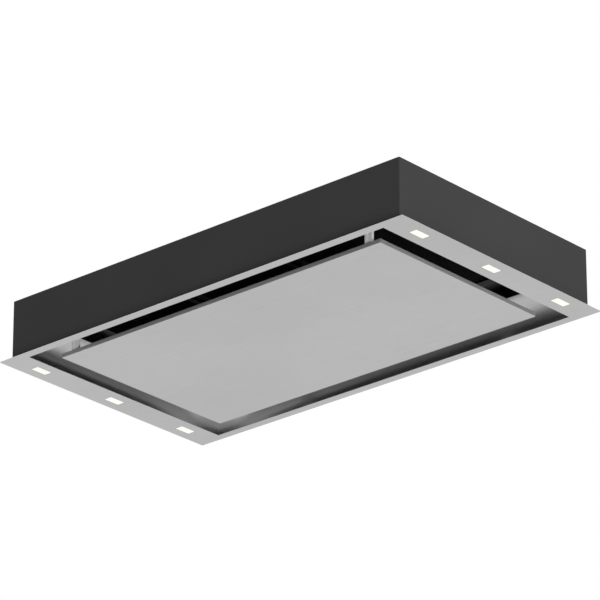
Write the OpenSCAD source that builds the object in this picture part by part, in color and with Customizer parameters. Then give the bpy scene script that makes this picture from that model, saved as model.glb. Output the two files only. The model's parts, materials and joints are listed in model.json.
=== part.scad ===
// Ceiling range hood: a flush stainless flange with a perimeter-suction panel that hinges down, grease
// filters above it, a painted casing that goes up into the ceiling, and a blower on the casing's roof.
// Origin: middle of the flange's underside. X runs along the hood, Y across it, Z up into the ceiling.

/* [Flange] */
// Length of the flange
flange_l = 1200; // [1100:10:1300]
// Width of the flange
flange_d = 680; // [640:5:760]
// Width of the flange strips at the two short ends
flange_end = 72; // [64:1:90]
// Width of the flange strips along the two long sides
flange_side = 22.5; // [21:0.5:40]
// Sheet thickness of the flange, the recess and the panel
sheet_t = 1; // [0.8:0.1:1.2]
// Corner radius of the flange
flange_r = 1.5; // [0.5:0.5:6]

/* [Recess] */
// Clear height of the recess above the flange's underside
recess_h = 86; // [80:1:96]
// Radius of the curved air guides along the recess's short walls and its far wall
cove_r = 60; // [54:1:66]

/* [Casing] */
// Step from the flange's edge back to the casing at the short ends
casing_inset_end = 22; // [16:1:24]
// Step from the flange's edge back to the casing at the long sides
casing_inset_side = 18; // [14:0.5:18.5]
// Height of the casing's top edge above the flange's underside
casing_h = 150; // [130:1:200]
// Sheet thickness of the casing, its roof and the blower box
casing_t = 1.2; // [0.8:0.1:1.5]
// Radius of the casing's upright corners
casing_r = 2; // [1.6:0.1:8]
// Width of the lip that the casing turns in under its roof
lip_w = 22; // [18:1:34]

/* [Suction panel] */
// Gap between the panel and the flange at the short ends
gap_end = 53; // [40:1:60]
// Gap between the panel and the flange at the long sides
gap_side = 52.5; // [48:0.5:60]
// Height of the panel's edge
panel_h = 9.5; // [7:0.5:14]
// Corner radius of the panel
panel_r = 1.5; // [1.3:0.1:5]

/* [Panel hinge] */
// Distance from the panel's end in to the middle of a hinge arm
arm_in = 37; // [30:1:90]
// Width of a hinge arm
arm_w = 20; // [16:1:26]
// Depth of a hinge arm
arm_d = 7; // [6:0.5:10]
// Width of the groove down the front of an arm
groove_w = 7; // [4:0.5:9]
// Depth of that groove
groove_d = 2.5; // [1:0.5:3.5]
// Distance from the panel's edge in to the hinge line
hinge_in = 7; // [6:0.5:9]
// Height of the hinge line above the flange's underside
hinge_z = 48; // [44:1:52]
// Diameter of a hinge pin
hinge_pin_d = 5; // [4:0.5:6]

/* [Lamps] */
// Width of a lamp window
lamp_w = 22.5; // [16:0.5:26]
// Length of a lamp window
lamp_l = 46; // [30:1:80]
// Distance between neighbouring lamps
lamp_pitch = 241; // [160:1:255]
// How far a lens lies above the flange's underside
lamp_recess = 0.5; // [0.2:0.1:0.6]

/* [Grease filters] */
// Number of filter cassettes
filter_n = 3; // [1:1:3]
// Width of the ceiling left between an end cassette and the recess's short wall
filter_end = 92; // [80:1:120]
// Width of the ceiling left between a cassette and each of the recess's long walls
filter_side = 117.5; // [107:0.5:160]
// Thickness of a cassette
filter_t = 9; // [8:0.5:14]
// Width of the ceiling left between two cassettes
filter_gap = 16; // [14:1:30]

/* [Hangers] */
// Distance from the casing's end in to the hanger holes
hanger_end = 98; // [78:1:130]
// Distance from the casing's long side in to the hanger holes
hanger_side = 92; // [80:1:110]
// Diameter of a hanger hole
hanger_hole_d = 9; // [7:0.5:11]

/* [Blower box] */
// Length of the blower box
box_l = 420; // [418:1:460]
// Width of the blower box
box_d = 300; // [296:1:320]
// Height of the blower box with its lid
box_h = 170; // [166:1:220]
// Distance from the middle of the hood to the middle of the blower box
box_y = 130; // [120:1:150]

/* [Blower] */
// Gap between the wheel and the scroll's tongue
wheel_gap = 9; // [6:0.5:14]
// Height of the wheel
wheel_h = 90; // [70:1:92]
// Number of blades
blade_n = 40; // [24:1:44]
// Depth of the ring of blades
blade_ring = 17; // [12:0.5:20]
// Thickness of a blade
blade_t = 1; // [0.8:0.1:1.4]
// How much the scroll's radius grows from its tongue to its outlet
scroll_growth = 46; // [40:1:50]
// Clear height inside the scroll
scroll_h = 110; // [106:1:112]
// Wall of the scroll
scroll_t = 2.5; // [2:0.1:3]
// Diameter of the motor
motor_d = 86; // [70:1:92]

/* [Duct collar] */
// Outer diameter of the collar, for a duct of 150
collar_d = 149; // [120:0.5:149.5]
// Length of the collar
collar_l = 55; // [40:1:80]
// Wall of the collar
collar_t = 1.2; // [1:0.1:2]

/* [Hidden] */
$fn = 64;

// Overrun of a cut past the face it leaves
cut = 1;
// Radial clearance of a pin or screw in its hole
fit = 0.05;
// Clearance between pieces that move past each other
clear = 0.3;

// Flange and opening
open_l = flange_l - 2 * flange_end;
open_d = flange_d - 2 * flange_side;
weld_tab_w = 40;
weld_tab_h = 14;
weld_tab_share = 1 / 5;

// Recess. Above its air guides it narrows to an upright throat. The near wall is straight, so that the
// panel's edge can swing up beside it
ceiling_top = recess_h + sheet_t;
cove_foot = 2;
cove_lip = 1;
cove_top = cove_foot + cove_r;
throat_x = open_l / 2 - cove_r - cove_lip;
throat_y = open_d / 2 - cove_r - cove_lip;

// Casing
casing_l = flange_l - 2 * casing_inset_end;
casing_d = flange_d - 2 * casing_inset_side;
roof_inset = 3;
roof_z = casing_h;
roof_top = casing_h + casing_t;
screw_d = 4;
screw_head_d = 8;
screw_head_h = 2.4;
screw_l = 8;
roof_screw_n = [5, 3];

// Suction panel
panel_l = open_l - 2 * gap_end;
panel_d = open_d - 2 * gap_side;
back_t = 1;
stiffener_n = 5;
stiffener_w = 40;
stiffener_foot = 12;
stiffener_end = 12;

// Panel hinge
arm_x = panel_l / 2 - arm_in;
hinge_y = -(panel_d / 2 - hinge_in);
arm_foot_l = 40;
arm_foot_d = 26;
arm_foot_t = 2;
eye_r = 6;
cheek_t = 2;
cheek_w = 22;
cheek_gap = 0.5;
bracket_d = 40;
bracket_t = 2;
pin_head_d = 9;
pin_head_t = 1.5;
rivet_d = 3.2;
rivet_head_d = 6.4;
rivet_head_h = 1.4;
rivet_pitch = 28;

// Catches
catch_x = 300;
catch_w = 25;
catch_t = 2;
catch_reach = 20;
catch_gap = 6.5;
catch_y = throat_y - catch_gap - catch_reach / 2;
magnet_l = 22;
magnet_d = 14;
magnet_h = 12;
strike_l = 32;
strike_d = 18;
strike_t = 1.5;

// Lamps
lamp_rim = 1;
lamp_gap = 0.55;
lamp_play = 0.25;
lens_t = 2;
lamp_housing_h = 22;
lamp_housing_t = 1;
lamp_board_t = 1.6;
lamp_x = casing_l / 2 - casing_t - lamp_gap - lamp_rim - lamp_w / 2;
led_d = 5;
led_h = 1;
led_pitch_share = 1 / 4;
driver_size = [140, 46, 30];
driver_in = [228, 97];
driver_spot = [driver_in[0] - casing_l / 2, casing_d / 2 - driver_in[1]];
driver_r = 4;
driver_ear = 10;
driver_ear_t = 2;

// Grease filters
filter_w = (open_l - 2 * filter_end - (filter_n - 1) * filter_gap) / filter_n;
filter_l = open_d - 2 * filter_side;
filter_play = 0.6;
filter_proud = 3;
filter_bar = 14;
filter_wall = 1;
filter_lip = 8;
filter_lip_t = 1.2;
filter_tab_w = 30;
filter_tab_share = 1 / 4;
filter_z = recess_h - filter_proud;
filter_pitch = filter_w + filter_gap;
pleat_n = 20;
pleat_t = 1;
grip_w = 56;
grip_t = 1.2;
grip_drop = 13;
grip_slot_w = 5;
filter_magnet_d = 12;
filter_magnet_h = 5;

// Hangers
hanger_x = casing_l - 2 * hanger_end;
hanger_y = casing_d - 2 * hanger_side;
hanger_t = 2.5;
hanger_w = 40;
hanger_rise = 22;
hanger_foot = 28;
hanger_tab = 30;

// Blower box
box_flange_w = 14;
box_lip_w = 12;
box_top = roof_z + box_h;
box_screw_n = [4, 3];

// Blower. The scroll's radii come from the box's width, and its four posts reach to the box's right wall
scroll_a0 = 130;
scroll_turn_share = 8 / 9;
scroll_a1 = scroll_a0 + 360 * scroll_turn_share;
scroll_far_share = (270 - scroll_a0) / (scroll_a1 - scroll_a0);
scroll_steps = 48;
scroll_gap_far = 7.175;
scroll_gap_near = 11.3;
scroll_r0 = (box_d - 2 * casing_t - 2 * scroll_t - scroll_gap_far - scroll_gap_near
    - scroll_growth * (1 + scroll_far_share)) / 2;
scroll_r1 = scroll_r0 + scroll_growth;
boss_shares = [[-1.27, -0.75], [0.89, -0.75], [0.89, 0.97], [-1.27, -0.03]];
boss_d = 24;
boss_arm_w = 18;
boss_gap = 8.3;
wheel_r = scroll_r0 - wheel_gap;
wheel_x = box_l / 2 - casing_t - boss_gap - boss_d / 2 - boss_shares[1][0] * scroll_r1;
wheel_y = box_y + box_d / 2 - casing_t - scroll_gap_far - scroll_t - scroll_r0
    - scroll_growth * scroll_far_share;
mouth_left = 205;
mouth_x = mouth_left - wheel_x;
mouth_low = 12;
tongue_t = 6;
post_h = 28;
scroll_z = roof_top + post_h;
scroll_in_z = scroll_z + scroll_t;
scroll_top_z = scroll_in_z + scroll_h;
scroll_lid_z = scroll_top_z + scroll_t;
wheel_z = scroll_in_z + (scroll_h - wheel_h) / 2;
disc_z = wheel_z + wheel_h / 2;
disc_t = 2;
shroud_t = 2.5;
blade_steps = 6;
blade_sweep_angle = 9;
eye_d = 2 * (wheel_r - blade_ring);
bell_r = 11;
bell_t = 1.5;
inlet_hole_d = eye_d + 2 * bell_t;
eye_reach = inlet_hole_d / 2 + bell_r + bell_t;
hub_r = 13;
hub_h = 16;
shaft_d = 8;
shaft_over = 6;
motor_gap = 3;
motor_z = disc_z + disc_t + motor_gap;
motor_r = 5;
spider_t = 2.5;
spider_w = 16;
spider_r = 20;
spider_foot_in = 5;
spider_gap = 2;
spider_rise = bell_r + bell_t + spider_gap;
spider_z = scroll_lid_z + spider_rise;
motor_h = spider_z - motor_z;
spider_foot = 10;
grommet_d = 16;
grommet_h = 5;
grommet_lip = 3;
post_d = 12;
post_bore_d = 4.4;

// Duct
duct_y = wheel_y - (scroll_r1 + mouth_low) / 2;
duct_z = scroll_in_z + scroll_h / 2;
collar_plate_rim = 7;
collar_plate = collar_d + 2 * collar_plate_rim;
collar_rivet_in = 8;
duct_d = collar_d - 2 * collar_t - 2 * scroll_t;
flap_pin_d = 4;
flap_x_in = 12;
flap_t = 1.2;
flap_play = 1;
knuckle_r = 3.6;
knuckle_n = 4;
knuckle_gap = 0.6;

// Control box
control_size = [140, 120, 58];
control_spot = [320, 90];
control_r = 3;
board_size = [90, 70, 1.6];
board_off = [-16, -16];
board_rise = 6;
board_post_d = 6;
cap_d = 30;
cap_l = 58;
cap_off = [52, -16];
block_size = [44, 16, 20];
block_off = [-8, 44];
gland_d = 16;
gland_hole_d = 8.4;
gland_l = 22;
gland_nut_d = 22;
gland_nut_t = 5;
gland_off_y = 40;
gland_z = 28;

// Helpers

// Block from one corner to the other
module span(lo, hi) { translate(lo) cube(hi - lo); }

// Rectangle about the origin with round corners
module rounded(l, d, r) {
    square([l - 2 * r, d], center = true);
    square([l, d - 2 * r], center = true);
    for (sx = [-1, 1], sy = [-1, 1]) translate([sx * (l / 2 - r), sy * (d / 2 - r)]) circle(r);
}

// Upright prism over a rounded rectangle, from z0 to z1
module slab(l, d, r, z0, z1) { translate([0, 0, z0]) linear_extrude(z1 - z0) rounded(l, d, r); }

// Upright cylinder from z0 to z1
module post(d, z0, z1) { translate([0, 0, z0]) cylinder(d = d, h = z1 - z0); }

// Rectangle that stands on the axis and has round upper corners
module arched(w, h, r) intersection() {
    translate([-w / 2, 0]) square([w, h]);
    union() {
        translate([-w / 2, 0]) square([w, h - r]);
        translate([r - w / 2, 0]) square([w - 2 * r, h]);
        for (s = [-1, 1]) translate([s * (w / 2 - r), h - r]) circle(r);
    }
}

// Block on z0 whose upper edges are bent round on all sides but the near one
module coved(l, d, r, z0, z1) {
    translate([0, 0, z0]) intersection() {
        rotate([90, 0, 90]) linear_extrude(l, center = true) translate([-r, 0]) arched(d + 2 * r, z1 - z0, r);
        rotate([90, 0, 0]) linear_extrude(d, center = true) arched(l, z1 - z0, r);
    }
}

// Children mirrored to the left where s is negative
module sided(s) { if (s < 0) mirror([1, 0, 0]) children(); else children(); }

// Children at the four corners of a rectangle
module corners(l, d) { for (sx = [-1, 1], sy = [-1, 1]) translate([sx * l / 2, sy * d / 2]) children(); }

// Children along the rim of a rectangle, n[0] on each long side and n[1] on each short one
module rim(l, d, n) {
    for (i = [0:n[0] - 1], s = [-1, 1]) translate([l * (i / (n[0] - 1) - 1 / 2), s * d / 2]) children();
    for (i = [1:n[1] - 1], s = [-1, 1]) translate([s * l / 2, d * (i / n[1] - 1 / 2)]) children();
}

// Pan-head screw whose head lies on z = 0
module screw(d, head_d, head_h, l) {
    rotate_extrude() {
        translate([0, -l]) square([d / 2, l + head_h / 2]);
        square([head_d / 2, head_h / 2]);
        translate([0, head_h / 2]) intersection() {
            square([head_d / 2, head_h / 2]);
            screw_crown(head_d, head_h);
        }
    }
}

// Crown of a screw head: the arc through its rim and its top
module screw_crown(head_d, head_h) {
    crown_r = (pow(head_d / 2, 2) + pow(head_h / 2, 2)) / head_h;
    translate([0, head_h / 2 - crown_r]) circle(crown_r);
}

// Lamp places: three at each end
module lamp_spots() { for (s = [-1, 1], i = [-1:1]) translate([s * lamp_x, i * lamp_pitch]) children(); }

// Filter place number i, counted from the left end
module filter_spot(i) { translate([(i - (filter_n + 1) / 2) * filter_pitch, 0]) children(); }

// Flange, recess and casing

module flange_plate() color("#b7b8b8") {
    difference() {
        slab(flange_l, flange_d, flange_r, 0, sheet_t);
        span([-open_l / 2, -open_d / 2, -cut], [open_l / 2, open_d / 2, sheet_t + cut]);
        lamp_spots() slab(lamp_w, lamp_l, sheet_t, -cut, sheet_t + cut);
    }
    for (s = [-1, 1], k = [-1, 1]) {
        // tabs that the casing is spot-welded to
        tx = s * (casing_l / 2 - casing_t);
        ty = k * (casing_d / 2 - casing_t);
        span([min(tx, tx - s * sheet_t), k * lamp_pitch / 2 - weld_tab_w / 2, sheet_t],
            [max(tx, tx - s * sheet_t), k * lamp_pitch / 2 + weld_tab_w / 2, sheet_t + weld_tab_h]);
        wx = s * open_l * weld_tab_share;
        span([wx - weld_tab_w / 2, min(ty, ty - k * sheet_t), sheet_t],
            [wx + weld_tab_w / 2, max(ty, ty - k * sheet_t), sheet_t + weld_tab_h]);
    }
}

// Upright throat of the recess, grown outwards by g
module throat(g, z0, z1) {
    span([-throat_x - g, -open_d / 2 - g, z0], [throat_x + g, throat_y + g, z1]);
}

module recess_liner() color("#9fa0a0") difference() {
    union() {
        coved(open_l + 2 * sheet_t, open_d + 2 * sheet_t, cove_r + sheet_t, sheet_t, cove_top + sheet_t);
        throat(sheet_t, cove_top - cove_foot, recess_h);
    }
    coved(open_l, open_d, cove_r, -cut, cove_top);
    throat(0, cove_top - cut, recess_h + cut);
}

// Plate over the throat that the filters, hinge brackets and catches hang from
module filter_plate() color("#2b2c2d") difference() {
    throat(sheet_t, recess_h, ceiling_top);
    for (i = [1:filter_n]) filter_spot(i)
        span([-filter_w / 2, -filter_l / 2, recess_h - cut], [filter_w / 2, filter_l / 2, ceiling_top + cut]);
}

module casing_shell() color("#3a3a3b") difference() {
    slab(casing_l, casing_d, casing_r, sheet_t, roof_z);
    slab(casing_l - 2 * casing_t, casing_d - 2 * casing_t, casing_r - casing_t, sheet_t - cut,
        roof_z - casing_t);
    slab(casing_l - 2 * lip_w, casing_d - 2 * lip_w, casing_r, roof_z - 2 * casing_t, roof_z + cut);
    rim(casing_l - lip_w, casing_d - lip_w, roof_screw_n)
        post(screw_d + 2 * fit, roof_z - casing_t - cut, roof_z + cut);
}

module roof_plate() color("#8e9092") difference() {
    slab(casing_l - 2 * roof_inset, casing_d - 2 * roof_inset, casing_r, roof_z, roof_top);
    rim(casing_l - lip_w, casing_d - lip_w, roof_screw_n)
        post(screw_d + 2 * fit, roof_z - cut, roof_top + cut);
    roof_inlet();
    box_screws() post(screw_d + 2 * fit, roof_z - cut, roof_top + cut);
    hanger_foot_screws() post(screw_d + 2 * fit, roof_z - cut, roof_top + cut);
    at_wheel() boss_spots() post(post_bore_d, roof_z - cut, roof_top + cut);
}

// Opening in the roof under the blower, between its four posts
module roof_inlet() {
    spots = [for (b = boss_shares) [wheel_x + b[0] * scroll_r1, wheel_y - b[1] * scroll_r1]];
    lo = [for (k = [0, 1]) min([for (p = spots) p[k]]) + boss_d / 2];
    hi = [for (k = [0, 1]) max([for (p = spots) p[k]]) - boss_d / 2];
    span([lo[0], lo[1], roof_z - cut], [hi[0], hi[1], roof_top + cut]);
}

module roof_screws() color("#c9cacc") {
    translate([0, 0, roof_top]) rim(casing_l - lip_w, casing_d - lip_w, roof_screw_n)
        screw(screw_d, screw_head_d, screw_head_h, screw_l);
    translate([0, 0, roof_top + hanger_t]) hanger_foot_screws()
        screw(screw_d, screw_head_d, screw_head_h, screw_l);
}

// Hangers: a Z-shaped bracket at each corner of the roof, its upper tab under the hanger hole's place

module hanger_spots() {
    for (sx = [-1, 1], sy = [-1, 1]) sided(sx) translate([hanger_x / 2, sy * hanger_y / 2]) children();
}

module hanger_foot_screws() {
    hanger_spots() for (s = [-1, 1])
        translate([-(hanger_tab + hanger_foot) / 2, s * hanger_w / 4]) children();
}

module hanger_brackets() color("#c3c5c8") {
    a = hanger_tab / 2;
    tab_top = roof_top + hanger_rise;
    difference() {
        hanger_spots() translate([0, 0, roof_top]) rotate([90, 0, 0]) linear_extrude(hanger_w, center = true)
            polygon([[-a - hanger_foot, 0], [-a + hanger_t, 0], [-a + hanger_t, hanger_rise - hanger_t],
                [a, hanger_rise - hanger_t], [a, hanger_rise], [-a, hanger_rise], [-a, hanger_t],
                [-a - hanger_foot, hanger_t]]);
        hanger_spots() post(hanger_hole_d, tab_top - hanger_t - cut, tab_top + cut);
        hanger_foot_screws() post(screw_d + 2 * fit, roof_top - cut, roof_top + hanger_t + cut);
    }
}

// Lamps

module lamp_lenses() color("#fffdf2") lamp_spots() {
    rim_w = lamp_w + 2 * lamp_rim;
    slab(lamp_w - 2 * lamp_play, lamp_l - 2 * lamp_play, sheet_t - lamp_play, lamp_recess, sheet_t + lens_t);
    slab(rim_w, lamp_l + 2 * lamp_rim, sheet_t, sheet_t, sheet_t + lens_t);
}

module lamp_housings() color("#d5d6d8") lamp_spots() {
    w = lamp_w + 2 * lamp_rim;
    l = lamp_l + 2 * lamp_rim;
    z = sheet_t + lens_t;
    difference() {
        slab(w, l, sheet_t, z, z + lamp_housing_h);
        slab(w - 2 * lamp_housing_t, l - 2 * lamp_housing_t, sheet_t, z - cut,
            z + lamp_housing_h - lamp_housing_t);
    }
}

module lamp_boards() color("#e9ece4") lamp_spots() {
    z = sheet_t + lens_t + lamp_housing_h - lamp_housing_t;
    slab(lamp_w, lamp_l, sheet_t, z - lamp_board_t, z);
    for (i = [-1:1]) translate([0, i * lamp_l * led_pitch_share])
        span([-led_d / 2, -led_d / 2, z - lamp_board_t - led_h], [led_d / 2, led_d / 2, z - lamp_board_t]);
}

module lamp_driver() color("#dcdcd8") translate(driver_spot) difference() {
    union() {
        slab(driver_size[0], driver_size[1], driver_r, roof_top, roof_top + driver_size[2]);
        slab(driver_size[0] + 2 * driver_ear, driver_size[1] / 2, driver_r, roof_top,
            roof_top + driver_ear_t);
    }
    for (s = [-1, 1]) translate([s * (driver_size[0] + driver_ear) / 2, 0])
        post(screw_d, roof_top - cut, roof_top + driver_ear_t + cut);
}

// Panel hinge. The line runs along X through the eyes of both arms

module on_hinge_line() { translate([0, hinge_y, hinge_z]) rotate([0, 90, 0]) children(); }

module hinge_bracket(s) translate([s * arm_x, 0, 0]) {
    x0 = arm_w / 2 + cheek_gap;
    difference() {
        union() {
            for (k = [-1, 1]) translate([k * (x0 + cheek_t / 2), 0, 0]) {
                span([-cheek_t / 2, hinge_y - eye_r, hinge_z], [cheek_t / 2, hinge_y + eye_r, recess_h]);
                span([-cheek_t / 2, hinge_y - cheek_w / 2, hinge_z + eye_r],
                    [cheek_t / 2, hinge_y + cheek_w / 2, recess_h]);
                on_hinge_line() cylinder(r = eye_r, h = cheek_t, center = true);
            }
            span([-x0 - cheek_t, hinge_y - bracket_d / 2, recess_h - bracket_t],
                [x0 + cheek_t, hinge_y + bracket_d / 2, recess_h]);
        }
        on_hinge_line() cylinder(d = hinge_pin_d + 2 * fit, h = arm_w * 2, center = true);
    }
}
module hinge_bracket_left() color("#a9abae") hinge_bracket(-1);
module hinge_bracket_right() color("#a9abae") hinge_bracket(1);

module hinge_pin(s) translate([s * arm_x, 0, 0]) on_hinge_line() {
    reach = arm_w / 2 + cheek_gap + cheek_t;
    cylinder(d = hinge_pin_d, h = 2 * reach + pin_head_t, center = true);
    for (k = [-1, 1]) translate([0, 0, k * (reach + pin_head_t / 2)])
        cylinder(d = pin_head_d, h = pin_head_t, center = true);
}
module hinge_pin_left() color("#cfd1d4") hinge_pin(-1);
module hinge_pin_right() color("#cfd1d4") hinge_pin(1);

module hinge_arm(s) translate([s * arm_x, 0, 0]) difference() {
    union() {
        span([-arm_w / 2, hinge_y - arm_d / 2, panel_h], [arm_w / 2, hinge_y + arm_d / 2, hinge_z]);
        on_hinge_line() cylinder(r = eye_r, h = arm_w, center = true);
        translate([0, hinge_y + arm_foot_d / 2 - arm_d / 2]) slab(arm_foot_l, arm_foot_d, arm_foot_t,
            panel_h, panel_h + arm_foot_t);
    }
    span([-groove_w / 2, hinge_y - arm_d / 2 - cut, panel_h + arm_foot_t],
        [groove_w / 2, hinge_y - arm_d / 2 + groove_d, hinge_z - eye_r]);
    on_hinge_line() cylinder(d = hinge_pin_d + 2 * fit, h = arm_w + cut, center = true);
    arm_rivet_spots() post(rivet_d + 2 * fit, panel_h - cut, panel_h + arm_foot_t + cut);
}
module hinge_arm_left() color("#c9cbcd") hinge_arm(-1);
module hinge_arm_right() color("#c9cbcd") hinge_arm(1);

// Rivets through an arm's foot, clear of the arm itself
module arm_rivet_spots() {
    for (k = [-1, 1]) translate([k * rivet_pitch / 2, hinge_y + (arm_foot_d - arm_d) / 2]) children();
}

// Suction panel

module panel_skin() color("#b5b6b6") difference() {
    slab(panel_l, panel_d, panel_r, 0, panel_h);
    slab(panel_l - 2 * sheet_t, panel_d - 2 * sheet_t, panel_r - sheet_t, sheet_t, panel_h + cut);
}

// Hat channels between the panel's skin and its back
module panel_stiffeners() color("#9fa0a0") for (i = [0:stiffener_n - 1])
    translate([panel_l * ((i + 1 / 2) / stiffener_n - 1 / 2), 0, sheet_t]) rotate([90, 0, 0])
        linear_extrude(panel_d - 2 * sheet_t - 2 * stiffener_end, center = true) {
            h = panel_h - back_t - sheet_t;
            translate([-stiffener_w / 2, h - sheet_t]) square([stiffener_w, sheet_t]);
            for (s = [-1, 1]) {
                x = s * (stiffener_w - sheet_t) / 2;
                translate([x - sheet_t / 2, 0]) square([sheet_t, h]);
                translate([x + s * stiffener_foot / 2 - stiffener_foot / 2 - sheet_t / 2, 0])
                    square([stiffener_foot + sheet_t, sheet_t]);
            }
        }

module panel_back() color("#a7a8a9") difference() {
    slab(panel_l - 2 * sheet_t, panel_d - 2 * sheet_t, panel_r - sheet_t, panel_h - back_t, panel_h);
    for (s = [-1, 1]) translate([s * arm_x, 0, 0])
        arm_rivet_spots() post(rivet_d + 2 * fit, panel_h - back_t - cut, panel_h + cut);
}

module panel_rivets() color("#bcbec0") translate([0, 0, panel_h + arm_foot_t])
    for (s = [-1, 1]) translate([s * arm_x, 0, 0]) arm_rivet_spots()
        screw(rivet_d, rivet_head_d, rivet_head_h, arm_foot_t + back_t);

module strike_plates() color("#8d8f92") for (s = [-1, 1]) translate([s * catch_x, catch_y])
    slab(strike_l, strike_d, panel_r, panel_h, panel_h + strike_t);

// Magnet catches that hold the panel's far edge up

catch_z = panel_h + strike_t + clear;
module catch_posts() color("#a9abae") for (s = [-1, 1])
    translate([s * catch_x, catch_y, 0]) rotate([90, 0, 90]) linear_extrude(catch_w, center = true) {
        z = catch_z + magnet_h;
        half = catch_reach / 2;
        translate([-half, z]) square([catch_reach, catch_t]);
        translate([half - catch_t, z]) square([catch_t, recess_h - z]);
        translate([-half, recess_h - catch_t]) square([catch_reach, catch_t]);
    }

module catch_magnets() color("#2d2e30") for (s = [-1, 1]) translate([s * catch_x, catch_y])
    slab(magnet_l, magnet_d, panel_r, catch_z, catch_z + magnet_h);

// Grease filters. Each hangs on two rear tabs and is held up at the front by magnets

module filter_frame(i) color("#b9bbbd") filter_spot(i) {
    w = filter_w - 2 * filter_play;
    l = filter_l - 2 * filter_play;
    difference() {
        slab(w, l, filter_wall, filter_z, filter_z + filter_t);
        slab(w - 2 * filter_wall, l - 2 * filter_wall, filter_play, filter_z + filter_wall,
            filter_z + filter_t - filter_wall);
        slab(w - 2 * filter_bar, l - 2 * filter_bar, filter_wall, filter_z - cut, filter_z + filter_t + cut);
    }
    lip_z = recess_h - clear;
    span([-w / 2, -filter_l / 2 - filter_lip, lip_z - filter_lip_t], [w / 2, -l / 2 + filter_wall, lip_z]);
    for (s = [-1, 1]) translate([s * w * filter_tab_share, 0, 0])
        span([-filter_tab_w / 2, l / 2 - filter_wall, ceiling_top + clear],
            [filter_tab_w / 2, filter_l / 2 + filter_lip, ceiling_top + clear + filter_lip_t]);
}
module filter_frame_1() filter_frame(1);
module filter_frame_2() filter_frame(2);
module filter_frame_3() filter_frame(3);

// Mesh pack: one pleated sheet of pressed mesh across the frame
module filter_mesh(i) color("#8c8e90") filter_spot(i) rotate([90, 0, 0])
    linear_extrude(filter_l - 2 * filter_play - 2 * filter_wall, center = true)
        polygon(concat([for (k = [0:2 * pleat_n]) pleat_point(k)],
            [for (k = [2 * pleat_n:-1:0]) pleat_point(k) + [0, pleat_t]]));

// Fold number k of the pleated sheet, low and high in turn
function pleat_point(k) = [(filter_w / 2 - filter_play - filter_wall) * (k / pleat_n - 1),
    filter_z + (k % 2 == 0 ? filter_wall : filter_t - filter_wall - pleat_t)];
module filter_mesh_1() filter_mesh(1);
module filter_mesh_2() filter_mesh(2);
module filter_mesh_3() filter_mesh(3);

// Pull tab under the front bar
module filter_grip(i) color("#c4c6c8") filter_spot(i) translate([0, -filter_l / 2 + filter_bar / 2, filter_z])
    rotate([90, 0, 0]) linear_extrude(grip_t, center = true) mirror([0, 1]) difference() {
        arched(grip_w, grip_drop, grip_drop / 2);
        translate([0, (grip_drop + filter_wall) / 2])
            rounded(grip_w - grip_drop, grip_slot_w, grip_slot_w / 2 - fit);
    }
module filter_grip_1() filter_grip(1);
module filter_grip_2() filter_grip(2);
module filter_grip_3() filter_grip(3);

module filter_magnets() color("#2d2e30") for (i = [1:filter_n], s = [-1, 1]) filter_spot(i)
    translate([s * filter_w * filter_tab_share, -(filter_l + filter_magnet_d) / 2 - filter_play, 0])
        post(filter_magnet_d, ceiling_top, ceiling_top + filter_magnet_h);

// Blower box

module box_screws() {
    translate([0, box_y]) rim(box_l + box_flange_w, box_d + box_flange_w, box_screw_n) children();
}

module blower_box() color("#8e9092") difference() {
    translate([0, box_y, 0]) union() {
        difference() {
            slab(box_l, box_d, casing_r, roof_top, box_top - casing_t);
            slab(box_l - 2 * casing_t, box_d - 2 * casing_t, casing_r - casing_t, roof_top - cut,
                box_top - 2 * casing_t);
            slab(box_l - 2 * box_lip_w, box_d - 2 * box_lip_w, casing_r, roof_top, box_top + cut);
        }
        difference() {
            slab(box_l + 2 * box_flange_w, box_d + 2 * box_flange_w, casing_r, roof_top, roof_top + casing_t);
            slab(box_l - casing_t, box_d - casing_t, casing_r, roof_top - cut, roof_top + casing_t + cut);
        }
    }
    box_screws() post(screw_d + 2 * fit, roof_top - cut, roof_top + casing_t + cut);
    lid_screws() post(screw_d + 2 * fit, box_top - 2 * casing_t - cut, box_top + cut);
    on_duct() cylinder(d = duct_d, h = 2 * casing_t + 2 * cut, center = true);
    duct_rivet_spots() cylinder(d = rivet_d + 2 * fit, h = 2 * casing_t + 2 * cut, center = true);
}

module lid_screws() {
    translate([0, box_y])
        rim(box_l - box_lip_w - casing_t, box_d - box_lip_w - casing_t, box_screw_n) children();
}

module blower_box_lid() color("#8e9092") difference() {
    translate([0, box_y]) slab(box_l, box_d, casing_r, box_top - casing_t, box_top);
    lid_screws() post(screw_d + 2 * fit, box_top - casing_t - cut, box_top + cut);
}

module blower_box_screws() color("#c9cacc") {
    translate([0, 0, roof_top + casing_t]) box_screws() screw(screw_d, screw_head_d, screw_head_h, screw_l);
    translate([0, 0, box_top]) lid_screws() screw(screw_d, screw_head_d, screw_head_h, screw_l);
}

// Blower: a scroll with an inlet above and below, on four rubber-bushed posts over the roof's opening.
// Its plan is drawn about the wheel's axis with the outlet at the left, then turned over towards the front

module at_wheel() { translate([wheel_x, wheel_y]) mirror([0, 1, 0]) children(); }

// Point of the scroll's wall at angle a, grown outwards by g
function scroll_point(a, g) =
    let(r = scroll_r0 + (scroll_r1 - scroll_r0) * (a - scroll_a0) / (scroll_a1 - scroll_a0) + g)
    [r * cos(a), r * sin(a)];

// Tip of the tongue, and the line to it from the mouth's lower corner
tip = (scroll_r0 + tongue_t) * [cos(scroll_a0), sin(scroll_a0)];
mouth_corner = [-mouth_left, mouth_low];
lower_run = (tip - mouth_corner) / norm(tip - mouth_corner);
lower_out = [lower_run[1], -lower_run[0]];

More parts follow.
